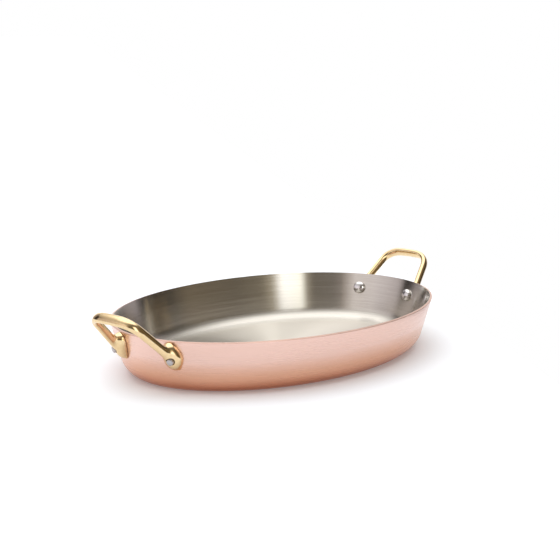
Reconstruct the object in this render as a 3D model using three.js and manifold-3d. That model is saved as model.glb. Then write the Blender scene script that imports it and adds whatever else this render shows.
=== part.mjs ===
// Oval copper baking dish: a flared copper body with a bonded stainless steel lining,
// and two cast brass handles, each held on by two stainless steel rivets.
// Millimetres, +Z up. X runs along the dish from handle to handle, and the origin is
// at the middle of the base, on the surface that the dish stands on.
import * as THREE from "three";
import { mergeVertices } from "three/addons/utils/BufferGeometryUtils.js";
import Module from "manifold-3d";

// Dish
const DISH_LENGTH = 320; // over the rim, along X
const DISH_WIDTH = 224; // over the rim, along Y
const DISH_HEIGHT = 42.7; // base to the rim's outer edge
const WALL_FLARE_DEG = 15.7; // lean of the wall from upright
const BASE_CORNER_RADIUS = 17; // outside, between the wall and the base
const COPPER_THICKNESS = 1.8;
const LINING_THICKNESS = 0.2;
const BOND_LINE = 0.03; // between the copper and the lining

// Rivets
const RIVET_SPACING = 55.5; // between the two rivets of a handle, along Y
const RIVET_RISE = 30; // rivet's middle above the base, on the outside of the wall
const SHANK_DIAMETER = 4.6;
const SHANK_CLEARANCE = 0.15; // all round, in its holes
const HEAD_OVERHANG = 3.2; // of the round head, beyond the shank
const HEAD_HEIGHT = 3.8;
const HEAD_EDGE = 0.7; // upright edge under the dome
const TAIL_UPSET = 0.4; // of the hammered tail, beyond the shank
const TAIL_HEIGHT = 2.2;
const TAIL_ROUND = 0.4; // rounding of the tail's rim
const SEAT_CLEARANCE = 0.1; // under the head and under the tail

// Lugs of the handles
const LUG_WIDTH = 14.4;
const LUG_ABOVE_RIVET = 13; // measured along the lug
const LUG_BELOW_RIVET = 7.8;
const LUG_LEAN_DEG = 22; // in the plane of the wall, towards the other lug
const LUG_TAPER = 0.08; // how much narrower the lug is at its top than at its middle
const LUG_POWER = 2.3; // of its outline: 2 is an ellipse, and more is squarer
const LUG_EDGE = 2.6; // upright edge, off the wall
const LUG_THICKNESS = 6.0; // at the rivet's seat
const LUG_CLEARANCE = 0.2; // between the lug and the copper
const SEAT_SINK = 0.5; // of the flat cut for the tail, below the top of the lug's dome
const SEAT_MARGIN = 0.5; // of that flat, round the tail

// Arms and grips of the handles
const ROOT_BELOW_RIVET = 4.8; // where the arm's axis would meet the wall
const ROOT_SPREAD = 3.7; // of that point from the rivet, away from the other arm
const FOOT_LENGTH = 23; // of the arm from its root, over which it narrows
const FOOT_WIDTH = 10; // of the arm where it dies into the wall
const FOOT_DEPTH = 11; // there, up and down the wall
const FOOT_BELOW_RIVET = 3.2; // middle of that end of the arm
const ARM_WIDTH = 5.4; // in the plane of the loop
const ARM_DEPTH = 7.2; // square to that plane
const GRIP_WIDTH = 5.4;
const GRIP_DEPTH = 8.9;
const GRIP_LENGTH = 43; // between the corners of the loop
const GRIP_REACH = 28.2; // past the end of the rim
const GRIP_RISE = 60.2; // above the base
const GRIP_BOW = 1.6; // how far the middle of the grip stands out
const GRIP_CORNER = 12; // length of each corner's bend, along the arm and along the grip
const BAR_POWER = 2.1; // of the arm's and the grip's section, nearly a plain oval

// How finely the round forms are cut
const DISH_SEGMENTS = 80;
const CORNER_STEPS = 6;
const RIVET_SEGMENTS = 20;
const DOME_STEPS = 5;
const SECTION_POINTS = 16;
const CROWN_STEPS = 4;
const FOOT_STEPS = 7;
const ARM_STEPS = 3;
const BEND_STEPS = 5;
const GRIP_STEPS = 3;

const copper = new THREE.MeshStandardMaterial({ color: "#d89c86", roughness: 0.32, metalness: 1 });
const steel = new THREE.MeshStandardMaterial({ color: "#b9b5aa", roughness: 0.35, metalness: 1 });
const brass = new THREE.MeshStandardMaterial({ color: "#d9b56a", roughness: 0.14, metalness: 1 });
const brightSteel = new THREE.MeshStandardMaterial({ color: "#c9c6c4", roughness: 0.15, metalness: 1 });

const flare = THREE.MathUtils.degToRad(WALL_FLARE_DEG);
const wallThickness = COPPER_THICKNESS + BOND_LINE + LINING_THICKNESS;
const shankRadius = SHANK_DIAMETER / 2;
const holeRadius = shankRadius + SHANK_CLEARANCE;
const headRadius = shankRadius + HEAD_OVERHANG;
const tailRadius = shankRadius + TAIL_UPSET;
const UPWARD = new THREE.Vector3(0, 0, 1);
const LATHE_AXIS = new THREE.Vector3(0, 1, 0);

const wasm = await Module();
wasm.setup();

// Closed meshes as solids, for the cuts, and back again
function solidOf(geometry) {
  const bare = geometry.clone();
  bare.deleteAttribute("normal");
  bare.deleteAttribute("uv");
  const merged = mergeVertices(bare, 1e-4);
  return new wasm.Manifold(
    new wasm.Mesh({
      numProp: 3,
      vertProperties: merged.attributes.position.array,
      triVerts: new Uint32Array(merged.index.array),
    }),
  );
}

function geometryOf(solid) {
  const made = solid.getMesh();
  const geometry = new THREE.BufferGeometry();
  geometry.setAttribute("position", new THREE.BufferAttribute(made.vertProperties, 3));
  geometry.setIndex(new THREE.BufferAttribute(made.triVerts, 1));
  return geometry;
}

function geometryFrom(points, triangles) {
  const geometry = new THREE.BufferGeometry().setFromPoints(points);
  geometry.setIndex(triangles);
  return geometry;
}

// The triangles between one ring of points and the next
function bandBetween(triangles, ring, next, count) {
  for (let i = 0; i < count; i++) {
    const j = (i + 1) % count;
    triangles.push(ring + i, ring + j, next + j, ring + i, next + j, next + i);
  }
}

// The triangles from a ring of the dish to the point in its middle
function fanTo(triangles, ring, apex, facesUp) {
  for (let i = 0; i < DISH_SEGMENTS; i++) {
    const j = (i + 1) % DISH_SEGMENTS;
    triangles.push(ring + (facesUp ? i : j), ring + (facesUp ? j : i), apex);
  }
}

// Dish: every surface of the sheet metal is the rim's ellipse, moved in square to itself

// The rim's outer ellipse at an angle, with the direction that points out of it
function rimAt(theta) {
  const a = DISH_LENGTH / 2;
  const b = DISH_WIDTH / 2;
  const point = new THREE.Vector2(a * Math.cos(theta), b * Math.sin(theta));
  const outward = new THREE.Vector2(b * Math.cos(theta), a * Math.sin(theta)).normalize();
  return { point, outward };
}

// Inset of the wall at a height, for the surface that lies a depth inside the copper's outside
function wallInset(z, depth) {
  return Math.tan(flare) * (DISH_HEIGHT - z) + depth / Math.cos(flare);
}

// Profile of that surface as (inset, height), from its top down to the flat of the base
function sheetProfile(depth, top) {
  const tangentHeight = BASE_CORNER_RADIUS * (1 - Math.sin(flare));
  const centreInset = wallInset(tangentHeight, 0) + BASE_CORNER_RADIUS * Math.cos(flare);
  const radius = BASE_CORNER_RADIUS - depth;
  const profile = [new THREE.Vector2(wallInset(top, depth), top)];
  for (let i = 0; i <= CORNER_STEPS; i++) {
    const turn = THREE.MathUtils.lerp(flare, Math.PI / 2, i / CORNER_STEPS);
    const inset = centreInset - radius * Math.cos(turn);
    profile.push(new THREE.Vector2(inset, BASE_CORNER_RADIUS - radius * Math.sin(turn)));
  }
  return profile;
}

// The rings of one surface, each running anticlockwise, and the middle of its base
function sheetPoints(profile) {
  const points = [];
  for (const { x: inset, y: z } of profile) {
    for (let i = 0; i < DISH_SEGMENTS; i++) {
      const { point, outward } = rimAt((2 * Math.PI * i) / DISH_SEGMENTS);
      points.push(new THREE.Vector3(point.x - outward.x * inset, point.y - outward.y * inset, z));
    }
  }
  points.push(new THREE.Vector3(0, 0, profile.at(-1).y));
  return points;
}

// The triangles of one surface, facing out of the dish
function sheetTriangles(profile) {
  const triangles = [];
  const last = profile.length - 1;
  for (let k = 0; k < last; k++) {
    bandBetween(triangles, (k + 1) * DISH_SEGMENTS, k * DISH_SEGMENTS, DISH_SEGMENTS);
  }
  fanTo(triangles, last * DISH_SEGMENTS, profile.length * DISH_SEGMENTS, false);
  return triangles;
}

// A layer of the sheet between two depths, joined along the rim, which is cut square to the wall
function sheetLayer(outerDepth, innerDepth) {
  const rimHeight = (depth) => DISH_HEIGHT + depth * Math.sin(flare);
  const outer = sheetProfile(outerDepth, rimHeight(outerDepth));
  const inner = sheetProfile(innerDepth, rimHeight(innerDepth));
  const points = sheetPoints(outer);
  const start = points.length;
  const triangles = sheetTriangles(outer);
  const inside = sheetTriangles(inner);
  for (let i = 0; i < inside.length; i += 3) {
    triangles.push(start + inside[i], start + inside[i + 2], start + inside[i + 1]);
  }
  bandBetween(triangles, 0, start, DISH_SEGMENTS);
  return geometryFrom([...points, ...sheetPoints(inner)], triangles);
}

// The whole dish as a block, a clearance larger than the copper, carried on above the rim
function dishBlock(clearance) {
  const profile = sheetProfile(-clearance, DISH_HEIGHT + LUG_ABOVE_RIVET);
  const points = sheetPoints(profile);
  const triangles = sheetTriangles(profile);
  fanTo(triangles, 0, points.length, true);
  points.push(new THREE.Vector3(0, 0, profile[0].y));
  return geometryFrom(points, triangles);
}

// Rivets

// Where a rivet's axis leaves the outside of the wall, with the directions along the wall,
// up the wall and out of the wall, and the wall's radius there as seen from above
function rivetPlace(side, end) {
  const inset = wallInset(RIVET_RISE, 0);
  const y = (side * RIVET_SPACING) / 2;
  let theta = Math.asin((2 * y) / DISH_WIDTH);
  for (let round = 0; round < 20; round++) {
    const { point, outward } = rimAt(theta);
    theta += (2 * (y - (point.y - outward.y * inset))) / DISH_WIDTH;
  }
  const { point, outward } = rimAt(theta);
  const level = new THREE.Vector3(outward.x, outward.y, 0);
  const out = level.clone().multiplyScalar(Math.cos(flare)).setZ(-Math.sin(flare));
  const up = level.clone().multiplyScalar(Math.sin(flare)).setZ(Math.cos(flare));
  const along = new THREE.Vector3(-outward.y, outward.x, 0);
  const origin = new THREE.Vector3(point.x - outward.x * inset, y, RIVET_RISE);
  const a = DISH_LENGTH / 2;
  const b = DISH_WIDTH / 2;
  const bend = Math.hypot(a * Math.sin(theta), b * Math.cos(theta)) ** 3 / (a * b) - inset;
  if (end < 0) {
    for (const vector of [origin, along, up, out]) vector.applyAxisAngle(UPWARD, Math.PI);
  }
  return { origin, along, up, out, side, bend };
}

// A cylinder along a rivet's axis, between two distances out of the wall
function axisCylinder(place, radius, from, to) {
  const geometry = new THREE.CylinderGeometry(radius, radius, to - from, RIVET_SEGMENTS);
  geometry.translate(0, (from + to) / 2, 0);
  geometry.applyQuaternion(new THREE.Quaternion().setFromUnitVectors(LATHE_AXIS, place.out));
  return geometry.translate(...place.origin.toArray());
}

// A rivet along +Y, with the outside of the wall at zero: the round head lies inside the
// dish, clear of the hollow of the wall, and the tail is hammered down on the lug
function rivetGeometry(place) {
  const wallHollow = headRadius ** 2 / (2 * (place.bend - wallThickness));
  const headSeat = -(wallThickness + wallHollow + SEAT_CLEARANCE);
  const tailSeat = LUG_THICKNESS + SEAT_CLEARANCE;
  const tailEnd = tailSeat + TAIL_HEIGHT;
  const domeBase = headSeat - HEAD_EDGE;
  const domeHeight = HEAD_HEIGHT - HEAD_EDGE;
  const profile = [new THREE.Vector2(0, domeBase - domeHeight)];
  for (let i = 1; i <= DOME_STEPS; i++) {
    const turn = ((Math.PI / 2) * i) / DOME_STEPS;
    profile.push(new THREE.Vector2(headRadius * Math.sin(turn), domeBase - domeHeight * Math.cos(turn)));
  }
  profile.push(
    new THREE.Vector2(headRadius, headSeat),
    new THREE.Vector2(shankRadius, headSeat),
    new THREE.Vector2(shankRadius, tailSeat),
    new THREE.Vector2(tailRadius, tailSeat),
    new THREE.Vector2(tailRadius, tailEnd - TAIL_ROUND),
    new THREE.Vector2(tailRadius - TAIL_ROUND, tailEnd),
    new THREE.Vector2(0, tailEnd),
  );
  return new THREE.LatheGeometry(profile, RIVET_SEGMENTS);
}

// The rivet holes through a layer of the dish
function drilled(layer, places) {
  let solid = solidOf(layer);
  for (const place of places) {
    const hole = axisCylinder(place, holeRadius, -3 * wallThickness, wallThickness);
    solid = solid.subtract(solidOf(hole));
  }
  return geometryOf(solid);
}

// Handle: a bar lofted from foot to foot through the arms and the grip, and a lug at each foot

// A section of the casting: an oval squared off by its power, round a middle
function section({ middle, across, upright, width, depth, power, taper }) {
  const squared = (value) => Math.sign(value) * Math.abs(value) ** (2 / power);
  const points = [];
  for (let i = 0; i < SECTION_POINTS; i++) {
    const turn = (2 * Math.PI * i) / SECTION_POINTS;
    const x = squared(Math.cos(turn));
    const y = squared(Math.sin(turn));
    const point = middle.clone().addScaledVector(across, (width / 2) * x * (1 - taper * y));
    points.push(point.addScaledVector(upright, (depth / 2) * y));
  }
  return points;
}

// The closed skin over a row of sections
function loft(sections) {
  const triangles = [];
  for (let k = 1; k < sections.length; k++) {
    bandBetween(triangles, (k - 1) * SECTION_POINTS, k * SECTION_POINTS, SECTION_POINTS);
  }
  const last = (sections.length - 1) * SECTION_POINTS;
  for (let i = 1; i < SECTION_POINTS - 1; i++) {
    triangles.push(0, i + 1, i);
    triangles.push(last, last + i, last + i + 1);
  }
  return geometryFrom(sections.flat(), triangles);
}

// The plane of the loop: up the arms from the roots, and square to both arms
function loopFrame(place) {
  const root = place.origin.clone().addScaledVector(place.up, -ROOT_BELOW_RIVET);
  root.y += ROOT_SPREAD;
  const corner = new THREE.Vector3(DISH_LENGTH / 2 + GRIP_REACH, root.y, GRIP_RISE);
  const climb = corner.clone().sub(root);
  const length = climb.length();
  climb.normalize();
  return { root, climb, square: new THREE.Vector3(-climb.z, 0, climb.x), length };
}

// The bar's centre line in that plane, from the root on the wall to the middle of the grip:
// straight arm, bent corner, bowed grip. x runs up the arms and y across the loop.
function barLine({ root, length }) {
  const start = new THREE.Vector2(0, root.y);
  const corner = new THREE.Vector2(length, GRIP_LENGTH / 2);
  const armEnd = corner.clone().addScaledVector(start.clone().sub(corner).normalize(), GRIP_CORNER);
  const bowAt = (y) => length + GRIP_BOW * (1 - ((2 * y) / GRIP_LENGTH) ** 2);
  const gripStart = new THREE.Vector2(bowAt(corner.y - GRIP_CORNER), corner.y - GRIP_CORNER);
  const middle = new THREE.Vector2(bowAt(0), 0);
  const lead = new THREE.Vector2(middle.x, gripStart.y / 2);
  return {
    arm: new THREE.LineCurve(start, armEnd),
    bend: new THREE.QuadraticBezierCurve(armEnd, corner, gripStart),
    grip: new THREE.QuadraticBezierCurve(gripStart, lead, middle),
  };
}

// One section of the bar, its size a share of the way from the arm's to the grip's
function barSection(loop, point, direction, share) {
  return {
    middle: loop.root.clone().setY(point.y).addScaledVector(loop.climb, point.x),
    across: loop.climb.clone().multiplyScalar(-direction.y).setY(direction.x),
    upright: loop.square,
    width: THREE.MathUtils.lerp(ARM_WIDTH, GRIP_WIDTH, share),
    depth: THREE.MathUtils.lerp(ARM_DEPTH, GRIP_DEPTH, share),
    power: BAR_POWER,
    taper: 0,
  };
}

// The foot: the arm curves in under the rivet and widens as it dies into the wall
function footSections(place, arm, heading) {
  const end = place.origin.clone().addScaledVector(place.up, -FOOT_BELOW_RIVET);
  const lead = arm.middle.clone().addScaledVector(heading, -FOOT_LENGTH / 2);
  const line = new THREE.QuadraticBezierCurve3(end, lead, arm.middle);
  const stations = [];
  for (let i = 0; i < FOOT_STEPS; i++) {
    const t = i / FOOT_STEPS;
    stations.push({
      middle: line.getPoint(t),
      across: place.along.clone().lerp(arm.across, t).normalize(),
      upright: arm.upright,
      width: THREE.MathUtils.lerp(FOOT_WIDTH, ARM_WIDTH, 1 - (1 - t) ** 2),
      depth: THREE.MathUtils.lerp(FOOT_DEPTH, ARM_DEPTH, 1 - (1 - t) ** 2),
      power: THREE.MathUtils.lerp(LUG_POWER, BAR_POWER, t),
      taper: 0,
    });
  }
  const sunk = { ...stations[0], middle: end.clone().addScaledVector(place.out, -ARM_DEPTH) };
  return [sunk, ...stations];
}

// The bar's sections from one foot to the other, which is the first half mirrored
function barSections(place) {
  const loop = loopFrame(place);
  const line = barLine(loop);
  const direction = line.arm.getTangent(0);
  const heading = loop.climb.clone().multiplyScalar(direction.x).setY(direction.y);
  const footShare = FOOT_LENGTH / line.arm.getLength();
  const armStart = barSection(loop, line.arm.getPoint(footShare), direction, 0);
  const stations = footSections(place, armStart, heading);
  for (let i = 0; i < ARM_STEPS; i++) {
    const t = THREE.MathUtils.lerp(footShare, 1, i / ARM_STEPS);
    stations.push(barSection(loop, line.arm.getPoint(t), direction, 0));
  }
  for (let i = 0; i < BEND_STEPS; i++) {
    const t = i / BEND_STEPS;
    stations.push(barSection(loop, line.bend.getPoint(t), line.bend.getTangent(t), t));
  }
  for (let i = 0; i <= GRIP_STEPS; i++) {
    const t = i / GRIP_STEPS;
    stations.push(barSection(loop, line.grip.getPoint(t), line.grip.getTangent(t), 1));
  }
  const half = stations.map(section);
  const mirrored = (ring) => ring.map((point) => point.clone().setY(-point.y));
  return [...half, ...half.slice(0, -1).map(mirrored).reverse()];
}

// The lug: a domed pad against the wall, leaning towards the other lug
function lugSections(place) {
  const length = LUG_ABOVE_RIVET + LUG_BELOW_RIVET;
  const crown = LUG_THICKNESS + SEAT_SINK - LUG_EDGE;
  const lean = THREE.MathUtils.degToRad(LUG_LEAN_DEG) * place.side;
  const upright = place.up.clone().applyAxisAngle(place.out, lean);
  const across = place.along.clone().applyAxisAngle(place.out, lean);
  const centre = place.origin.clone().addScaledVector(upright, length / 2 - LUG_BELOW_RIVET);
  const pad = (out, inset) =>
    section({
      middle: centre.clone().addScaledVector(place.out, out),
      across,
      upright,
      width: LUG_WIDTH - 2 * inset,
      depth: length - 2 * inset,
      power: LUG_POWER,
      taper: LUG_TAPER,
    });
  const sections = [pad(-LUG_EDGE, 0)];
  for (let i = 0; i < CROWN_STEPS; i++) {
    const turn = ((Math.PI / 2) * i) / CROWN_STEPS;
    sections.push(pad(LUG_EDGE + crown * Math.sin(turn), (LUG_WIDTH / 2) * (1 - Math.cos(turn))));
  }
  return sections;
}

// The casting, trimmed to the wall, drilled for its rivets and cut flat under their tails
function handleGeometry() {
  const places = [rivetPlace(1, 1), rivetPlace(-1, 1)];
  let solid = solidOf(loft(barSections(places[0])));
  for (const place of places) {
    solid = solid.add(solidOf(loft(lugSections(place))));
  }
  solid = solid.subtract(solidOf(dishBlock(LUG_CLEARANCE)));
  const clear = LUG_THICKNESS + TAIL_HEIGHT + LUG_WIDTH;
  for (const place of places) {
    const hole = axisCylinder(place, holeRadius, -LUG_THICKNESS, clear);
    const seat = axisCylinder(place, tailRadius + SEAT_MARGIN, LUG_THICKNESS, clear);
    solid = solid.subtract(solidOf(hole)).subtract(solidOf(seat));
  }
  return geometryOf(solid);
}

// Assembly

function mesh(name, geometry, material) {
  const made = new THREE.Mesh(geometry, material);
  made.name = name;
  return made;
}

const ends = [
  { end: "left", endSign: -1 },
  { end: "right", endSign: 1 },
];
const sides = [
  { side: "front", sideSign: -1 },
  { side: "back", sideSign: 1 },
];
const rivetSites = [];
for (const { end, endSign } of ends) {
  for (const { side, sideSign } of sides) {
    rivetSites.push({ name: `${end}_${side}_rivet`, place: rivetPlace(sideSign * endSign, endSign) });
  }
}
const places = rivetSites.map((site) => site.place);

const dish = new THREE.Group();
const copperLayer = sheetLayer(0, COPPER_THICKNESS);
const liningLayer = sheetLayer(COPPER_THICKNESS + BOND_LINE, wallThickness);
dish.add(mesh("copper_body", drilled(copperLayer, places), copper));
dish.add(mesh("steel_lining", drilled(liningLayer, places), steel));

const handle = handleGeometry();
for (const { end, endSign } of ends) {
  const casting = mesh(`${end}_handle`, handle, brass);
  casting.rotation.z = endSign > 0 ? 0 : Math.PI;
  dish.add(casting);
}

for (const { name, place } of rivetSites) {
  const rivet = mesh(name, rivetGeometry(place), brightSteel);
  rivet.position.copy(place.origin);
  rivet.quaternion.setFromUnitVectors(LATHE_AXIS, place.out);
  dish.add(rivet);
}

export default dish;
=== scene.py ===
"""Oval copper baking dish with a steel lining, cast brass handles and steel rivets, on a pale floor."""

import math

import bpy
import numpy as np
from mathutils import Matrix, Vector


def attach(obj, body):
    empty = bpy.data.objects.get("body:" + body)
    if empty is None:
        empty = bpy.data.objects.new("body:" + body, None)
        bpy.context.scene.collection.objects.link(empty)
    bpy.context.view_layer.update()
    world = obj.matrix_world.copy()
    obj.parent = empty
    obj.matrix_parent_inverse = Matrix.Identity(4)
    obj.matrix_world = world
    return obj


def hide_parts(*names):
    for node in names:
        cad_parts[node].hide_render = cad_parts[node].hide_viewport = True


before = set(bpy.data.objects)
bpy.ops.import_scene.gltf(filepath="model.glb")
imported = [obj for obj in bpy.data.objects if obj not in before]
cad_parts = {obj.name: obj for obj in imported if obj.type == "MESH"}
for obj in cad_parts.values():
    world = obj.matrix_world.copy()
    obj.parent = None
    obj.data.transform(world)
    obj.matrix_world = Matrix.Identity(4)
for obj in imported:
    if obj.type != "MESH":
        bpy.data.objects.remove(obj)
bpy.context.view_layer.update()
MM = 0.001

# Sizes of the dish in millimetres, as the solids have them
RIM_LENGTH = 320.0
RIM_WIDTH = 224.0
DISH_HEIGHT = 42.7
WALL_FLARE = math.radians(15.7)
BASE_CORNER = 17.0
COPPER_THICKNESS = 1.8
BOND_LINE = 0.03
WALL_THICKNESS = 2.03

# The sheet for the eye: its broken edges, its cut edge and how finely it is drawn
FLAT_MARGIN = 2.0
OUTER_EDGE_ROUNDING = 0.35
INNER_EDGE_ROUNDING = 0.08
CUT_EDGE_DROP = 0.15
SHEET_SEGMENTS = 288
SHEET_CORNER_STEPS = 14

# Rivets, with tails 1 mm longer than in the solids, because they stand out so far in the photo
RIVET_SPACING = 55.5
RIVET_RISE = 30.0
SHANK_RADIUS = 2.3
SHANK_CLEARANCE = 0.15
HEAD_RADIUS = 5.5
HEAD_HEIGHT = 3.8
HEAD_EDGE = 0.7
HEAD_STEPS = 16
TAIL_RADIUS = 2.7
TAIL_HEIGHT = 3.2
TAIL_SHOULDER = 0.7
TAIL_CROWN = 0.15
TAIL_CROWN_SHARE = 0.6
TAIL_FINISH_START = 4.0
SEAT_CLEARANCE = 0.1
RIVET_SEGMENTS = 48
RIVET_CORNER_STEPS = 5

# Lugs of the handles
LUG_WIDTH = 14.4
LUG_ABOVE_RIVET = 13.0
LUG_BELOW_RIVET = 7.8
LUG_LEAN = math.radians(22)
LUG_TAPER = 0.08
LUG_THICKNESS = 6.0
LUG_CROWN = 6.5
LUG_CLEARANCE = 0.2
LUG_OUTLINE_POWER = 2.3
LUG_CROWN_POWER = 2.6
LUG_FILLET = 3.2
SEAT_MARGIN = 0.5

# Arms and grips of the handles
ROOT_BELOW_RIVET = 4.8
ROOT_SPREAD = 3.7
FOOT_LENGTH = 23.0
FOOT_WIDTH = 10.0
FOOT_DEPTH = 11.0
FOOT_BELOW_RIVET = 3.2
FOOT_BURIED = 6.0
FOOT_GAP = 0.4
ARM_WIDTH = 5.4
ARM_DEPTH = 7.2
GRIP_WIDTH = 5.4
GRIP_DEPTH = 8.9
GRIP_LENGTH = 43.0
GRIP_REACH = 28.2
GRIP_RISE = 60.2
GRIP_BOW = 1.6
GRIP_CORNER = 12.0
BAR_POWER = 2.1
FOOT_POWER = 2.3

# The space in which the right handle's skin is found, and the step of the search
HANDLE_LOW = (146.0, -37.8, 20.0)
HANDLE_HIGH = (195.5, 38.0, 67.5)
SKIN_STEP = 0.45
POINTS_AT_ONCE = 20000


# Small helpers

def linear(hex_colour):
    """An sRGB hex colour as linear red, green, blue and alpha."""
    levels = [int(hex_colour[i:i + 2], 16) / 255 for i in (1, 3, 5)]
    return [v / 12.92 if v <= 0.04045 else ((v + 0.055) / 1.055) ** 2.4 for v in levels] + [1.0]


def add(tree, kind, links=None, **settings):
    """Adds a node. settings are its own properties; links give its inputs values or other outputs."""
    node = tree.nodes.new(kind)
    for name, value in settings.items():
        setattr(node, name, value)
    for name, value in (links or {}).items():
        if isinstance(value, bpy.types.NodeSocket):
            tree.links.new(value, node.inputs[name])
        else:
            node.inputs[name].default_value = value
    return node


def maths(tree, operation, *values):
    """The result of a math node on numbers or outputs."""
    return add(tree, "ShaderNodeMath", dict(enumerate(values)), operation=operation).outputs[0]


def vectors(tree, operation, *values):
    """The vector that a vector math node makes of vectors or outputs."""
    return add(tree, "ShaderNodeVectorMath", dict(enumerate(values)), operation=operation).outputs[0]


def scaled(tree, vector, factor):
    """A vector times a factor."""
    node = add(tree, "ShaderNodeVectorMath", {0: vector, "Scale": factor}, operation="SCALE")
    return node.outputs[0]


def facing(tree, vector, aim):
    """How far a direction points along an aim, from -1 to 1."""
    node = add(tree, "ShaderNodeVectorMath", {0: vector, 1: aim}, operation="DOT_PRODUCT")
    return node.outputs["Value"]


def parted(tree, vector):
    """The X, Y and Z outputs of a vector."""
    return add(tree, "ShaderNodeSeparateXYZ", {0: vector}).outputs


def joined(tree, **parts):
    """A vector made of the X, Y and Z that are given."""
    return add(tree, "ShaderNodeCombineXYZ", parts).outputs[0]


def spread(tree, value, start, end, low=0.0, high=1.0, blend="LINEAR"):
    """A value carried from between start and end to between low and high, and held beyond them."""
    node = add(tree, "ShaderNodeMapRange", {
        "Value": value, "From Min": start, "From Max": end, "To Min": low, "To Max": high},
        interpolation_type=blend)
    return node.outputs[0]


def mixed(tree, share, first, second):
    """The first colour, or the second where the share is 1."""
    return add(tree, "ShaderNodeMix", {"Factor": share, 6: first, 7: second}, data_type="RGBA").outputs[2]


def tones(tree, value, stops):
    """The colour at a value on a ramp of stops, each a place from 0 to 1 and a hex colour."""
    node = add(tree, "ShaderNodeValToRGB", {"Fac": value})
    elements = node.color_ramp.elements
    while len(elements) < len(stops):
        elements.new(0.5)
    for element, (place, colour) in zip(elements, stops):
        element.position = place
        element.color = linear(colour)
    return node.outputs["Color"]


def noise(tree, place, scale, detail, roughness=0.5):
    """Noise with its repeats per metre, the same all ways or one number for each way."""
    if isinstance(scale, tuple):
        place = add(tree, "ShaderNodeMapping", {"Vector": place, "Scale": scale}).outputs[0]
        scale = 1.0
    node = add(tree, "ShaderNodeTexNoise", {
        "Vector": place, "Scale": scale, "Detail": detail, "Roughness": roughness})
    return node.outputs["Fac"]


def line_object(name, points, rounding):
    """An object that holds a profile as a chain of edges, with the rounding of each of its corners."""
    mesh = bpy.data.meshes.new(name)
    edges = [(i, i + 1) for i in range(len(points) - 1)]
    mesh.from_pydata(points, edges, [])
    layer = mesh.attributes.new("rounding", "FLOAT", "POINT")
    layer.data.foreach_set("value", rounding)
    piece = bpy.data.objects.new(name, mesh)
    bpy.context.collection.objects.link(piece)
    return piece


def grown(piece, tree, sizes):
    """Runs a node tree on an object with the given sizes and keeps the result as its plain mesh."""
    modifier = piece.modifiers.new("rule", "NODES")
    modifier.node_group = tree
    for item in tree.interface.items_tree:
        if item.item_type == "SOCKET" and item.in_out == "INPUT" and item.name in sizes:
            modifier[item.identifier] = sizes[item.name]
    drawn = piece.data
    evaluated = piece.evaluated_get(bpy.context.evaluated_depsgraph_get())
    mesh = bpy.data.meshes.new_from_object(evaluated)
    piece.modifiers.remove(modifier)
    piece.data = mesh
    mesh.name = piece.name
    bpy.data.meshes.remove(drawn)
    return piece


# Camera

def make_camera():
    """The photograph's viewpoint, fitted to the outlines of the dish and its handles."""
    data = bpy.data.cameras.new("camera")
    data.sensor_fit = "HORIZONTAL"
    data.sensor_width = 36.0
    data.lens = 89.892
    data.clip_end = 100.0
    camera = bpy.data.objects.new("camera", data)
    bpy.context.collection.objects.link(camera)
    forward = Vector((0.747026, 0.636292, -0.192573)).normalized()
    upward = Vector((0.144526, 0.127305, 0.981278)).normalized()
    right = forward.cross(upward)
    turn = Matrix((right, upward, -forward)).transposed()
    camera.matrix_world = Matrix.Translation((-0.872949, -0.746399, 0.288488)) @ turn.to_4x4()
    bpy.context.scene.camera = camera


# Materials

def new_material(name):
    """A material without nodes yet, and its tree."""
    material = bpy.data.materials.new(name)
    material.use_nodes = True
    tree = material.node_tree
    tree.nodes.clear()
    return material, tree


def attribute(tree, name, output):
    """What a piece's mesh says under a name."""
    return add(tree, "ShaderNodeAttribute", attribute_name=name).outputs[output]


def relief(tree, height, strength, depth):
    """The surface's direction over fine bumps, with their depth in metres."""
    bump = add(tree, "ShaderNodeBump", {"Height": height, "Strength": strength, "Distance": depth})
    return bump.outputs[0]


def end_metal(tree, colour, rough, normal, brushing=0.0):
    """Ends a metal's tree. brushing, from 0 to 1, draws reflections out across lines round the dish."""
    inputs = {"Base Color": colour, "Metallic": 1.0, "Roughness": rough, "Normal": normal}
    if brushing:
        tangent = add(tree, "ShaderNodeTangent", direction_type="RADIAL", axis="Z")
        inputs["Anisotropic"] = brushing
        inputs["Anisotropic Rotation"] = 0.25
        inputs["Tangent"] = tangent.outputs[0]
    metal = add(tree, "ShaderNodeBsdfPrincipled", inputs)
    add(tree, "ShaderNodeOutputMaterial", {"Surface": metal.outputs[0]})


def satin_copper():
    """Copper polished round the dish on a wheel: a soft pink mirror, drawn out across fine level lines."""
    material, tree = new_material("satin_polished_copper")
    place = attribute(tree, "lay", "Vector")
    # Polishing lines 0.5 mm apart, coarser than the real ones so that they show
    lines = noise(tree, place, (14, 14, 2000), 3.0)
    # Broad bands about 12 mm high, where the wheel pressed harder
    bands = noise(tree, place, (9, 9, 80), 2.0)
    # Painted shade: the colour darkens and reddens down the wall towards the base, standing in for the
    # shadowed floor near the base that the lower wall mirrors
    low = spread(tree, parted(tree, place)["Z"], 0.022, -0.010, -0.06, 0.94)
    tone = tones(tree, maths(tree, "MULTIPLY_ADD", bands, 0.12, low), [
        (0.0, "#E9C6B9"), (0.2, "#E6BCA9"), (0.48, "#E2B095"), (0.7, "#DFA78A"), (1.0, "#CB8666")])
    # The cut edge round the rim is left rougher, as the shears and the file left it; its colour is darkened
    # as painted shade, to dim the bright reflected line along the rim
    edge = attribute(tree, "cut_edge", "Fac")
    colour = mixed(tree, edge, tone, linear("#D6B3A4"))
    wheel = spread(tree, lines, 0.3, 0.7, 0.25, 0.33)
    rough = maths(tree, "MULTIPLY_ADD", edge, 0.2, wheel)
    end_metal(tree, colour, rough, relief(tree, lines, 0.06, 0.0002), brushing=0.5)
    return material


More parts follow.
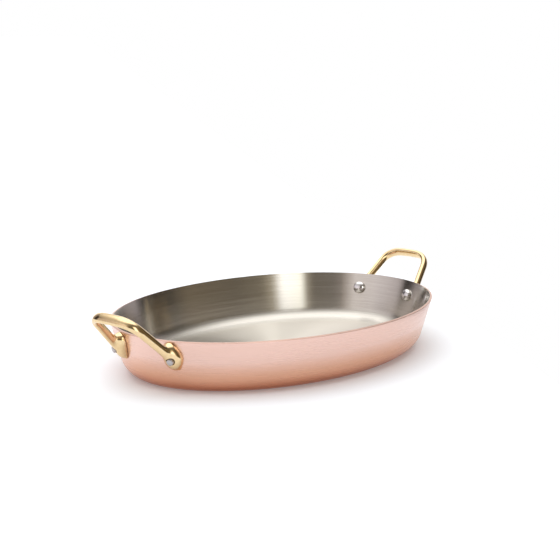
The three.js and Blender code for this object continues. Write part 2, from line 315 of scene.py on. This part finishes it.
def brushed_steel():
    """Stainless steel brushed round the dish: reflections stay narrow sideways and are drawn out upward."""
    material, tree = new_material("brushed_stainless_steel")
    place = attribute(tree, "lay", "Vector")
    # Brush lines up to 1 mm apart, coarser than the real ones so that they show
    lines = noise(tree, place, (14, 14, 1000), 5.0, 0.65)
    # The finish is finest at the rim, a little coarser down the wall, and coarse on the floor of the dish
    depth = parted(tree, place)["Z"]
    floor = spread(tree, depth, -0.012, -0.026)
    wall = spread(tree, depth, 0.03, -0.004, 0.12, 0.18)
    zone = maths(tree, "MULTIPLY_ADD", floor, 0.32, wall)
    rough = maths(tree, "MULTIPLY_ADD", lines, 0.1, zone)
    tone = tones(tree, maths(tree, "MULTIPLY_ADD", lines, 0.3, floor), [
        (0.07, "#C6C1B8"), (0.23, "#DAD6CE"), (1.0, "#DDD8CE")])
    end_metal(tree, tone, rough, relief(tree, lines, 0.03, 0.0002), brushing=1.0)
    return material


def polished_brass():
    """Cast brass polished by hand: a warm yellow mirror with a slow waviness left from the casting."""
    material, tree = new_material("polished_cast_brass")
    place = add(tree, "ShaderNodeTexCoord").outputs["Object"]
    # Waves of about 9 mm, and polishing haze of about 1.5 mm
    waves = noise(tree, place, 110.0, 1.0)
    haze = noise(tree, place, 650.0, 3.0)
    tone = tones(tree, haze, [(0.3, "#E4C998"), (0.7, "#EDD3A8")])
    rough = spread(tree, haze, 0.3, 0.7, 0.07, 0.11)
    end_metal(tree, tone, rough, relief(tree, waves, 0.1, 0.001))
    return material


def polished_steel():
    """Stainless steel rivets: heads bright from the die, and tails left grey and dented by the hammer."""
    material, tree = new_material("polished_stainless_steel")
    place = add(tree, "ShaderNodeTexCoord").outputs["Object"]
    # Dents of about 1.5 mm and scuffs of about 0.4 mm
    dents = noise(tree, place, 700.0, 1.0)
    scuffs = noise(tree, place, 2500.0, 2.0)
    tone = tones(tree, scuffs, [(0.0, "#D8D5D5"), (1.0, "#EBE9E8")])
    tail = attribute(tree, "hammered", "Fac")
    colour = mixed(tree, tail, tone, linear("#B5B0B0"))
    bright = spread(tree, scuffs, 0.3, 0.7, 0.04, 0.09)
    rough = maths(tree, "MULTIPLY_ADD", tail, 0.2, bright)
    beaten = maths(tree, "MULTIPLY_ADD", tail, 0.5, 0.25)
    end_metal(tree, colour, rough, relief(tree, dents, beaten, 0.0004))
    return material


# Node trees that grow a piece from its profile

def new_tree(name, sockets):
    """A node tree with a mesh in, a mesh out and named inputs for its sizes; returns it and its inputs."""
    tree = bpy.data.node_groups.new(name, "GeometryNodeTree")
    tree.interface.new_socket("Profile", in_out="INPUT", socket_type="NodeSocketGeometry")
    for label, kind in sockets:
        tree.interface.new_socket(label, in_out="INPUT", socket_type=kind)
    tree.interface.new_socket("Mesh", in_out="OUTPUT", socket_type="NodeSocketGeometry")
    return tree, add(tree, "NodeGroupInput").outputs


def add_lattice(tree, given):
    """Nodes that round the profile's corners and lay it out along a grid, one row for each of its points.

    Returns the grid, the angle of each of its points and the point of the profile that each stands for."""
    curve = add(tree, "GeometryNodeMeshToCurve", {"Mesh": given["Profile"]})
    rounding = add(tree, "GeometryNodeInputNamedAttribute", {"Name": "rounding"}, data_type="FLOAT")
    rounded = add(tree, "GeometryNodeFilletCurve", {
        "Curve": curve.outputs[0], "Count": given["Corner Steps"], "Radius": rounding.outputs[0],
        "Limit Radius": True}, mode="POLY")
    cloud = add(tree, "GeometryNodeCurveToPoints", {"Curve": rounded.outputs[0]}, mode="EVALUATED")
    dots = cloud.outputs[0]
    size = add(tree, "GeometryNodeAttributeDomainSize", {"Geometry": dots}, component="POINTCLOUD")
    rows = size.outputs["Point Count"]
    columns = maths(tree, "ADD", given["Segments"], 1.0)
    grid = add(tree, "GeometryNodeMeshGrid", {
        "Size X": 1.0, "Size Y": 1.0, "Vertices X": columns, "Vertices Y": rows})
    spot = parted(tree, add(tree, "GeometryNodeInputPosition").outputs[0])
    angle = maths(tree, "MULTIPLY_ADD", spot["X"], 2 * math.pi, math.pi)
    last = maths(tree, "SUBTRACT", rows, 1.0)
    up = maths(tree, "ADD", spot["Y"], 0.5)
    index = maths(tree, "ROUND", maths(tree, "MULTIPLY", up, last))
    where = add(tree, "GeometryNodeInputPosition")
    sample = add(tree, "GeometryNodeSampleIndex", {
        "Geometry": dots, "Value": where.outputs[0], "Index": index},
        data_type="FLOAT_VECTOR", domain="POINT")
    return grid.outputs["Mesh"], angle, sample.outputs[0]


def marked(tree, mesh, name, value, kind="FLOAT"):
    """A mesh that says a value under a name at each point."""
    node = add(tree, "GeometryNodeStoreNamedAttribute", {
        "Geometry": mesh, "Name": name, "Value": value}, data_type=kind, domain="POINT")
    return node.outputs[0]


def closed_skin(tree, mesh, place):
    """A mesh moved to its place, with its seam and its poles closed and smooth shading."""
    placed = add(tree, "GeometryNodeSetPosition", {"Geometry": mesh, "Position": place})
    closed = add(tree, "GeometryNodeMergeByDistance", {
        "Geometry": placed.outputs[0], "Distance": 0.01 * MM})
    return add(tree, "GeometryNodeSetShadeSmooth", {"Geometry": closed.outputs[0]}).outputs[0]


def end_tree(tree, mesh, finish):
    """Ends a tree with the real mesh in its material."""
    real = add(tree, "GeometryNodeRealizeInstances", {"Geometry": mesh})
    finished = add(tree, "GeometryNodeSetMaterial", {"Geometry": real.outputs[0], "Material": finish})
    add(tree, "NodeGroupOutput", {"Mesh": finished.outputs[0]})


# Dish: the profile of the sheet is drawn as a line and carried round the rim's ellipse

def oval_sheet_tree():
    """Carries a profile round an ellipse: x is how far it is set in from the rim, y the share of the way
    to the middle, and z the height."""
    tree, given = new_tree("oval_sheet", [
        ("Half Length", "NodeSocketFloat"), ("Half Width", "NodeSocketFloat"),
        ("Edge Height", "NodeSocketFloat"), ("Segments", "NodeSocketInt"),
        ("Corner Steps", "NodeSocketInt"), ("Finish", "NodeSocketMaterial")])
    grid, angle, sample = add_lattice(tree, given)
    profile = parted(tree, sample)
    ring = joined(tree, X=maths(tree, "COSINE", angle), Y=maths(tree, "SINE", angle))
    halves = joined(tree, X=given["Half Length"], Y=given["Half Width"])
    swapped = joined(tree, X=given["Half Width"], Y=given["Half Length"])
    rim = vectors(tree, "MULTIPLY", ring, halves)
    outward = vectors(tree, "NORMALIZE", vectors(tree, "MULTIPLY", ring, swapped))
    moved = vectors(tree, "SUBTRACT", rim, scaled(tree, outward, profile["X"]))
    drawn_in = scaled(tree, moved, maths(tree, "SUBTRACT", 1.0, profile["Y"]))
    point = vectors(tree, "ADD", drawn_in, joined(tree, Z=profile["Z"]))
    # The lay of the finish in metres: round the dish in X and Y, and along the profile in Z
    lay_radius = 0.13
    flat_length = 0.1
    along = maths(tree, "SUBTRACT", profile["Z"], profile["X"])
    depth = maths(tree, "MULTIPLY_ADD", profile["Y"], -flat_length, along)
    lay = vectors(tree, "ADD", scaled(tree, ring, lay_radius), joined(tree, Z=depth))
    laid = marked(tree, grid, "lay", lay, "FLOAT_VECTOR")
    at_edge = maths(tree, "GREATER_THAN", profile["Z"], given["Edge Height"])
    edged = marked(tree, laid, "cut_edge", at_edge)
    end_tree(tree, closed_skin(tree, edged, point), given["Finish"])
    return tree


def wall_inset(height, depth):
    """How far the wall is set in from the rim at a height, for the surface a depth inside the copper."""
    return math.tan(WALL_FLARE) * (DISH_HEIGHT - height) + depth / math.cos(WALL_FLARE)


def make_layer(name, outer_depth, inner_depth, outer_edge, inner_edge, tree, finish):
    """One layer of the sheet: up the outside from the middle of the base, over the rim and down inside."""
    # A ring of points on the flat base, a little inside the corner
    flat_edge = wall_inset(0, 0) + BASE_CORNER * math.tan((math.pi / 2 - WALL_FLARE) / 2) + FLAT_MARGIN
    # The rim is cut square to the wall, so that its inner edge stands higher
    outer_top = DISH_HEIGHT + outer_depth * math.sin(WALL_FLARE)
    inner_top = DISH_HEIGHT + inner_depth * math.sin(WALL_FLARE)
    at_middle = 1.0 / MM
    points = [
        (flat_edge, at_middle, outer_depth),
        (flat_edge, 0.0, outer_depth),
        (wall_inset(outer_depth, outer_depth), 0.0, outer_depth),
        (wall_inset(outer_top, outer_depth), 0.0, outer_top),
        (wall_inset(inner_top, inner_depth), 0.0, inner_top),
        (wall_inset(inner_depth, inner_depth), 0.0, inner_depth),
        (flat_edge, 0.0, inner_depth),
        (flat_edge, at_middle, inner_depth),
    ]
    rounding = [0, 0, BASE_CORNER - outer_depth, outer_edge, inner_edge, BASE_CORNER - inner_depth, 0, 0]
    piece = line_object(name, [(x * MM, y * MM, z * MM) for x, y, z in points], [r * MM for r in rounding])
    return grown(piece, tree, {
        "Half Length": RIM_LENGTH / 2 * MM, "Half Width": RIM_WIDTH / 2 * MM,
        "Edge Height": (DISH_HEIGHT - CUT_EDGE_DROP) * MM, "Segments": SHEET_SEGMENTS,
        "Corner Steps": SHEET_CORNER_STEPS, "Finish": finish})


# Rivets

def rivet_place():
    """Where the right back rivet's axis leaves the outside of the wall, the directions up and out of the
    wall there, and the wall's radius seen from above, in millimetres."""
    a, b = RIM_LENGTH / 2, RIM_WIDTH / 2
    inset = wall_inset(RIVET_RISE, 0)
    y = RIVET_SPACING / 2
    angle = math.asin(y / b)
    for _ in range(20):
        slope = math.hypot(b * math.cos(angle), a * math.sin(angle))
        angle += (y - b * math.sin(angle) + a * math.sin(angle) / slope * inset) / b
    slope = math.hypot(b * math.cos(angle), a * math.sin(angle))
    level = np.array([b * math.cos(angle) / slope, a * math.sin(angle) / slope, 0])
    out = level * math.cos(WALL_FLARE) - np.array([0, 0, math.sin(WALL_FLARE)])
    up = level * math.sin(WALL_FLARE) + np.array([0, 0, math.cos(WALL_FLARE)])
    origin = np.array([a * math.cos(angle) - level[0] * inset, y, RIVET_RISE])
    bend = math.hypot(a * math.sin(angle), b * math.cos(angle)) ** 3 / (a * b) - inset
    return origin, up, out, bend


def rivet_tree():
    """Turns a rivet's profile, x out from its axis and z along it, and sets one at each handle's foot."""
    tree, given = new_tree("rivet_set", [
        ("Place", "NodeSocketVector"), ("Axis", "NodeSocketVector"), ("Segments", "NodeSocketInt"),
        ("Corner Steps", "NodeSocketInt"), ("Finish", "NodeSocketMaterial")])
    grid, angle, sample = add_lattice(tree, given)
    turned = add(tree, "ShaderNodeVectorRotate", {"Vector": sample, "Angle": angle}, rotation_type="Z_AXIS")
    outside = maths(tree, "GREATER_THAN", parted(tree, sample)["Z"], TAIL_FINISH_START * MM)
    rivet = closed_skin(tree, marked(tree, grid, "hammered", outside), turned.outputs[0])
    # Four places, mirrored over the two middle planes of the dish
    place = parted(tree, given["Place"])
    corners = add(tree, "GeometryNodeMeshGrid", {
        "Size X": maths(tree, "MULTIPLY", place["X"], 2.0), "Vertices X": 2,
        "Size Y": maths(tree, "MULTIPLY", place["Y"], 2.0), "Vertices Y": 2})
    raised = add(tree, "GeometryNodeSetPosition", {
        "Geometry": corners.outputs["Mesh"], "Offset": joined(tree, Z=place["Z"])})
    side = vectors(tree, "SIGN", add(tree, "GeometryNodeInputPosition").outputs[0])
    axis = vectors(tree, "MULTIPLY", side, given["Axis"])
    aim = add(tree, "FunctionNodeAlignRotationToVector", {"Vector": axis}, axis="Z")
    copies = add(tree, "GeometryNodeInstanceOnPoints", {
        "Points": raised.outputs[0], "Instance": rivet, "Rotation": aim.outputs[0]})
    end_tree(tree, copies.outputs[0], given["Finish"])
    return tree


def make_rivets(finish):
    """The four rivets: a round head inside the dish, and a tail hammered down on the lug."""
    origin, _, out, bend = rivet_place()
    head_seat = -(WALL_THICKNESS + HEAD_RADIUS ** 2 / (2 * (bend - WALL_THICKNESS)) + SEAT_CLEARANCE)
    tail_seat = LUG_THICKNESS + SEAT_CLEARANCE
    tail_top = tail_seat + TAIL_HEIGHT
    dome_base = head_seat - HEAD_EDGE
    dome_height = HEAD_HEIGHT - HEAD_EDGE
    profile = []
    rounding = []
    for i in range(HEAD_STEPS + 1):
        turn = math.pi / 2 * i / HEAD_STEPS
        profile.append((HEAD_RADIUS * math.sin(turn), dome_base - dome_height * math.cos(turn)))
        rounding.append(0.0)
    profile += [(HEAD_RADIUS, head_seat), (SHANK_RADIUS, head_seat), (SHANK_RADIUS, tail_seat),
                (TAIL_RADIUS, tail_seat), (TAIL_RADIUS, tail_top - TAIL_SHOULDER),
                (TAIL_RADIUS * TAIL_CROWN_SHARE, tail_top - TAIL_CROWN), (0, tail_top)]
    # The head's edge is broken, and the hammer has rounded the tail
    rounding += [0.25, 0, 0, 0.3, 0.7, 1.0, 0]
    points = [(x * MM, 0.0, z * MM) for x, z in profile]
    piece = line_object("rivets", points, [r * MM for r in rounding])
    return grown(piece, rivet_tree(), {
        "Place": Vector(origin) * MM, "Axis": Vector(out), "Segments": RIVET_SEGMENTS,
        "Corner Steps": RIVET_CORNER_STEPS, "Finish": finish})


# Handles: the bar, its feet and its lugs are joined with soft fillets, as a casting is

def bezier(start, lead, end, count):
    """Points along a bend from start to end, and their directions."""
    t = np.linspace(0, 1, count)[:, None]
    points = (1 - t) ** 2 * start + 2 * t * (1 - t) * lead + t ** 2 * end
    headings = 2 * (1 - t) * (lead - start) + 2 * t * (end - lead)
    return points, headings / np.linalg.norm(headings, axis=1)[:, None]


def bar_stations():
    """The half bar from its foot to the middle of the grip: places, directions and sections."""
    origin, up, out, _ = rivet_place()
    root = origin - up * ROOT_BELOW_RIVET + np.array([0, ROOT_SPREAD, 0])
    climb = np.array([RIM_LENGTH / 2 + GRIP_REACH, root[1], GRIP_RISE]) - root
    length = np.linalg.norm(climb)
    climb = climb / length
    square = np.array([-climb[2], 0, climb[0]])
    sideways = np.array([0, 1.0, 0])
    corner = root + climb * length + sideways * (GRIP_LENGTH / 2 - root[1])
    heading = (corner - root) / np.linalg.norm(corner - root)
    arm_start = root + heading * FOOT_LENGTH
    arm_end = corner - heading * GRIP_CORNER
    middle = corner * np.array([1, 0, 1]) + climb * GRIP_BOW
    bow = GRIP_BOW * (1 - (1 - 2 * GRIP_CORNER / GRIP_LENGTH) ** 2)
    grip_start = corner - sideways * GRIP_CORNER + climb * bow
    grip_lead = middle + sideways * grip_start[1] / 2
    foot = origin - up * FOOT_BELOW_RIVET
    # Each run's start, lead, end and count of stations, and its share of the way: 0 foot, 1 arm, 2 grip
    runs = [
        (foot - out * FOOT_BURIED, foot - out * FOOT_BURIED / 2, foot - out * FOOT_GAP, 16, 0, 0),
        (foot, arm_start - heading * FOOT_LENGTH / 2, arm_start, 90, 0, 1),
        (arm_start, (arm_start + arm_end) / 2, arm_end, 60, 1, 1),
        (arm_end, corner, grip_start, 80, 1, 2),
        (grip_start, grip_lead, middle, 40, 2, 2),
    ]
    bends = [bezier(*run[:4]) for run in runs]
    points = np.concatenate([bend[0] for bend in bends])
    headings = np.concatenate([bend[1] for bend in bends])
    share = np.concatenate([np.linspace(first, last, count) for _, _, _, count, first, last in runs])
    across = np.cross(headings, square)
    across /= np.linalg.norm(across, axis=1)[:, None]
    upright = np.cross(across, headings)
    arm = np.clip(share, 0, 1)
    grip = np.clip(share - 1, 0, 1)
    slimming = 1 - (1 - arm) ** 2
    width = FOOT_WIDTH + (ARM_WIDTH - FOOT_WIDTH) * slimming + (GRIP_WIDTH - ARM_WIDTH) * grip
    depth = FOOT_DEPTH + (ARM_DEPTH - FOOT_DEPTH) * slimming + (GRIP_DEPTH - ARM_DEPTH) * grip
    power = FOOT_POWER + (BAR_POWER - FOOT_POWER) * arm
    return points, across, upright, width / 2, depth / 2, power


def soft_union(first, second, fillet):
    """The nearer of two shapes, with a fillet where they meet."""
    blend = np.maximum(fillet - np.abs(first - second), 0) / fillet
    return np.minimum(first, second) - blend ** 2 * fillet / 4


def wall_gap(points):
    """How far points lie outside the copper's wall."""
    a, b = RIM_LENGTH / 2, RIM_WIDTH / 2
    angle = np.arctan2(points[:, 1] / b, points[:, 0] / a)
    for _ in range(6):
        c, s = np.cos(angle), np.sin(angle)
        dx, dy = points[:, 0] - a * c, points[:, 1] - b * s
        error = dx * -a * s + dy * b * c
        slope = -(a * s) ** 2 - (b * c) ** 2 - dx * a * c - dy * b * s
        angle = angle - error / slope
    c, s = np.cos(angle), np.sin(angle)
    gap = ((points[:, 0] - a * c) * b * c + (points[:, 1] - b * s) * a * s) / np.hypot(b * c, a * s)
    return (gap + math.tan(WALL_FLARE) * (DISH_HEIGHT - points[:, 2])) * math.cos(WALL_FLARE)


def bar_field(points, stations):
    """Below zero inside the bar and its feet, above zero outside them."""
    line, across, upright, half_width, half_depth, power = stations
    nearest = np.argmin((line ** 2).sum(1)[None] - 2 * points @ line.T, axis=1)
    offset = points - line[nearest]
    x = np.abs((offset * across[nearest]).sum(1)) / half_width[nearest]
    y = np.abs((offset * upright[nearest]).sum(1)) / half_depth[nearest]
    p = power[nearest]
    return ((x ** p + y ** p) ** (1 / p) - 1) * half_width[nearest]


def lug_field(points):
    """Below zero inside a domed lug that leans towards its partner, above zero outside it."""
    origin, up, out, _ = rivet_place()
    lean_up = up * math.cos(LUG_LEAN) + np.cross(out, up) * math.sin(LUG_LEAN)
    lean_along = np.cross(lean_up, out)
    half_length = (LUG_ABOVE_RIVET + LUG_BELOW_RIVET) / 2
    offset = points - origin - lean_up * (half_length - LUG_BELOW_RIVET)
    y = (offset @ lean_up) / half_length
    x = np.abs(offset @ lean_along) / (LUG_WIDTH / 2 * (1 - LUG_TAPER * np.clip(y, -1, 1)))
    z = np.maximum(offset @ out, 0) / LUG_CROWN
    outline = (x ** LUG_OUTLINE_POWER + np.abs(y) ** LUG_OUTLINE_POWER) ** (1 / LUG_OUTLINE_POWER)
    dome = (outline ** LUG_CROWN_POWER + z ** LUG_CROWN_POWER) ** (1 / LUG_CROWN_POWER)
    return (dome - 1) * LUG_CROWN


def handle_field(points, stations):
    """Below zero inside the right handle's casting, above zero outside it, in about millimetres."""
    points = points.copy()
    points[:, 1] = np.abs(points[:, 1])
    casting = soft_union(bar_field(points, stations), lug_field(points), LUG_FILLET)
    # Cut flat under the rivet's tail, drilled for its shank and trimmed to the wall
    origin, _, out, _ = rivet_place()
    rise = (points - origin) @ out
    radius = np.linalg.norm(points - origin - rise[:, None] * out, axis=1)
    seat = np.maximum(radius - TAIL_RADIUS - SEAT_MARGIN, LUG_THICKNESS - rise)
    casting = np.maximum(casting, -seat)
    casting = np.maximum(casting, SHANK_RADIUS + SHANK_CLEARANCE - radius)
    return np.maximum(casting, LUG_CLEARANCE - wall_gap(points))


def in_chunks(points, stations):
    """The handle's field at many points, a part of them at a time to spare memory."""
    parts = np.array_split(points, len(points) // POINTS_AT_ONCE + 1)
    return np.concatenate([handle_field(part, stations) for part in parts])


def skin_over(values, low, step):
    """Points and quads of the closed skin where values on a grid pass zero, one point per crossed cell."""
    inside = values < 0
    size = np.array(values.shape) - 1
    total = np.zeros((*size, 3))
    count = np.zeros(size)

    def shifted(start):
        """The grid's points at one corner of every cell."""
        return tuple(slice(s, s + n) for s, n in zip(start, size))

    for axis in range(3):
        others = [i for i in range(3) if i != axis]
        for first in (0, 1):
            for second in (0, 1):
                start = np.zeros(3, int)
                start[others[0]], start[others[1]] = first, second
                end = start.copy()
                end[axis] = 1
                f0, f1 = values[shifted(start)], values[shifted(end)]
                crossed = inside[shifted(start)] != inside[shifted(end)]
                share = np.where(crossed, f0 / np.where(crossed, f0 - f1, 1), 0)
                total += crossed[..., None] * start
                total[..., axis] += share * crossed
                count += crossed
    cells = np.argwhere(count > 0)
    number = np.full(size, -1)
    number[tuple(cells.T)] = np.arange(len(cells))
    points = low + step * (cells + total[tuple(cells.T)] / count[tuple(cells.T)][:, None])
    quads = []
    for axis in range(3):
        u, v = (axis + 1) % 3, (axis + 2) % 3
        steps = [slice(None)] * 3
        ahead = [slice(None)] * 3
        steps[axis], ahead[axis] = slice(None, -1), slice(1, None)
        near, far = inside[tuple(steps)], inside[tuple(ahead)]
        edges = np.argwhere(near != far)
        edges = edges[((edges[:, [u, v]] > 0) & (edges[:, [u, v]] < size[[u, v]])).all(1)]
        leaving = near[tuple(edges.T)]
        ring = []
        for du, dv in ((1, 1), (0, 1), (0, 0), (1, 0)):
            cell = edges.copy()
            cell[:, u] -= du
            cell[:, v] -= dv
            ring.append(number[tuple(cell.T)])
        ring = np.stack(ring, 1)
        ring[~leaving] = ring[~leaving][:, ::-1]
        quads.append(ring)
    return points, np.concatenate(quads)


def field_slope(points, stations):
    """How steeply the handle's field rises at points, along each axis."""
    nudge = 0.04
    rises = []
    for shift in nudge * np.eye(3):
        rises.append(in_chunks(points + shift, stations) - in_chunks(points - shift, stations))
    return np.stack(rises, 1) / (2 * nudge)


def handle_mesh():
    """The right handle's skin in millimetres."""
    stations = bar_stations()
    axes = [np.arange(low, high, SKIN_STEP) for low, high in zip(HANDLE_LOW, HANDLE_HIGH)]
    grid = np.stack(np.meshgrid(*axes, indexing="ij"), -1)
    values = in_chunks(grid.reshape(-1, 3), stations).reshape(grid.shape[:3])
    points, quads = skin_over(values, np.array(HANDLE_LOW), SKIN_STEP)
    # Each point is drawn onto the surface itself, so that reflections run smoothly
    longest_move = 0.3
    least_slope = 0.2
    for _ in range(3):
        slope = field_slope(points, stations)
        reach = in_chunks(points, stations) / np.maximum((slope ** 2).sum(1), least_slope)
        points = points - np.clip(reach, -longest_move, longest_move)[:, None] * slope
    return points, quads


def make_handle(name, points, quads, finish):
    """One handle as a piece of its own, from its skin in millimetres."""
    mesh = bpy.data.meshes.new(name)
    mesh.from_pydata((points * MM).tolist(), [], quads.tolist())
    mesh.materials.append(finish)
    mesh.shade_smooth()
    piece = bpy.data.objects.new(name, mesh)
    bpy.context.collection.objects.link(piece)
    return piece


# Floor, light and background

def make_floor():
    """A pale floor that shows white to the camera and keeps the dish's shadow."""
    mesh = bpy.data.meshes.new("floor")
    half = 12.0
    drop = -0.0001
    # The sheet ends at the right of the dish, so that the brass mirrors dark room there
    near = -0.2
    turn = math.radians(50)
    mesh.from_pydata([(-half, near, drop), (half, near, drop), (half, half, drop), (-half, half, drop)],
                     [], [(0, 1, 2, 3)])
    mesh.transform(Matrix.Rotation(turn, 4, "Z"))
    floor = bpy.data.objects.new("floor", mesh)
    bpy.context.collection.objects.link(floor)
    material, tree = new_material("pale_floor")
    paint = add(tree, "ShaderNodeBsdfDiffuse", {"Color": linear("#F3F8FD")})
    path = add(tree, "ShaderNodeLightPath").outputs
    seen = maths(tree, "MAXIMUM", path["Is Camera Ray"], path["Is Glossy Ray"])
    # A slight glow brings the open floor up to white
    glow = 0.16
    level = maths(tree, "MULTIPLY", seen, glow)
    lift = add(tree, "ShaderNodeEmission", {"Color": linear("#FFFFFF"), "Strength": level})
    both = add(tree, "ShaderNodeAddShader", {0: paint.outputs[0], 1: lift.outputs[0]})
    add(tree, "ShaderNodeOutputMaterial", {"Surface": both.outputs[0]})
    mesh.materials.append(material)


# Bearings round the dish in degrees, and the level and colour of what stands there
BEARINGS = [
    (-180, "#B5AFB0"), (-170, "#B5AFB0"), (-160, "#8C8480"), (-153, "#605853"), (-145, "#504A44"),
    (-126, "#4F4941"), (-120, "#7E776A"), (-115, "#FFFFF8"), (-101, "#FFFFFF"), (-95, "#8E8676"),
    (-88, "#5B5447"), (-72, "#494237"), (-45, "#534A3C"), (-34, "#2C2822"), (-15, "#24211F"),
    (-8, "#7E787B"), (6, "#7A7477"), (18, "#C4C4C4"), (72, "#C4C4C4"), (79, "#767073"),
    (90, "#6B6567"), (98, "#3A3638"), (105, "#1C1A1B"), (111, "#262425"), (117, "#767072"),
    (123, "#928C8F"), (140, "#A39DA0"), (160, "#AFA9AC"), (180, "#B5AFB0"),
]


def make_world():
    """White for the camera. What lights the dish, and what its metal mirrors, is a studio: a soft ceiling
    light, a white backdrop behind the dish, a strip light at the right of the camera, dark room round the
    camera and on the right, a dark gap at the left of the backdrop, and plain walls higher up."""
    world = bpy.data.worlds.new("studio")
    bpy.context.scene.world = world
    world.use_nodes = True
    tree = world.node_tree
    tree.nodes.clear()
    way = add(tree, "ShaderNodeTexCoord").outputs["Generated"]
    parts = parted(tree, way)
    turn = maths(tree, "ARCTAN2", parts["Y"], parts["X"])
    share = maths(tree, "MULTIPLY_ADD", turn, 1 / (2 * math.pi), 0.5)
    room = tones(tree, share, [(bearing / 360 + 0.5, colour) for bearing, colour in BEARINGS])
    # The walls higher up are pale at the back and the left, and dark at the front and the right
    pale_side = Vector((-0.34, 0.94, 0))
    pale = spread(tree, facing(tree, way, pale_side), -0.5, 0.4, blend="SMOOTHSTEP")
    upper = mixed(tree, pale, linear("#5A5650"), linear("#989594"))
    above = spread(tree, parts["Z"], 0.44, 0.62, blend="SMOOTHSTEP")
    walls = mixed(tree, above, room, upper)
    # The ceiling light is almost straight above the dish
    lean = Vector((0.12, 0.12, 0.985)).normalized()
    high = spread(tree, facing(tree, way, lean), 0.65, 0.9, blend="SMOOTHSTEP")
    sky = mixed(tree, high, walls, linear("#F3F2F2"))
    studio = add(tree, "ShaderNodeBackground", {"Color": sky, "Strength": 2.2})
    white = add(tree, "ShaderNodeBackground", {"Color": linear("#FFFFFF"), "Strength": 1.0})
    path = add(tree, "ShaderNodeLightPath")
    shown = add(tree, "ShaderNodeMixShader", {
        0: path.outputs["Is Camera Ray"], 1: studio.outputs[0], 2: white.outputs[0]})
    add(tree, "ShaderNodeOutputWorld", {"Surface": shown.outputs[0]})


# Assembly

scene = bpy.context.scene
scene.view_settings.view_transform = "Standard"
make_camera()

copper = satin_copper()
steel = brushed_steel()
brass = polished_brass()
bright_steel = polished_steel()

sheet_tree = oval_sheet_tree()
body = make_layer("copper_dish", 0.0, COPPER_THICKNESS, OUTER_EDGE_ROUNDING, 0.0, sheet_tree, copper)
lining = make_layer("lining", COPPER_THICKNESS + BOND_LINE, WALL_THICKNESS, 0.0, INNER_EDGE_ROUNDING,
                    sheet_tree, steel)
rivets = make_rivets(bright_steel)
points, quads = handle_mesh()
right = make_handle("right_loop_handle", points, quads, brass)
left = make_handle("left_loop_handle", points * np.array([-1, -1, 1]), quads, brass)

make_floor()
make_world()

for piece, nodes, slot in (
    (body, ["copper_body"], "copper"),
    (lining, ["steel_lining"], "lining"),
    (left, ["left_handle"], "brass"),
    (right, ["right_handle"], "brass"),
    (rivets, ["left_front_rivet", "left_back_rivet", "right_front_rivet", "right_back_rivet"],
     "rivet_steel"),
):
    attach(piece, "root")
    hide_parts(*nodes)
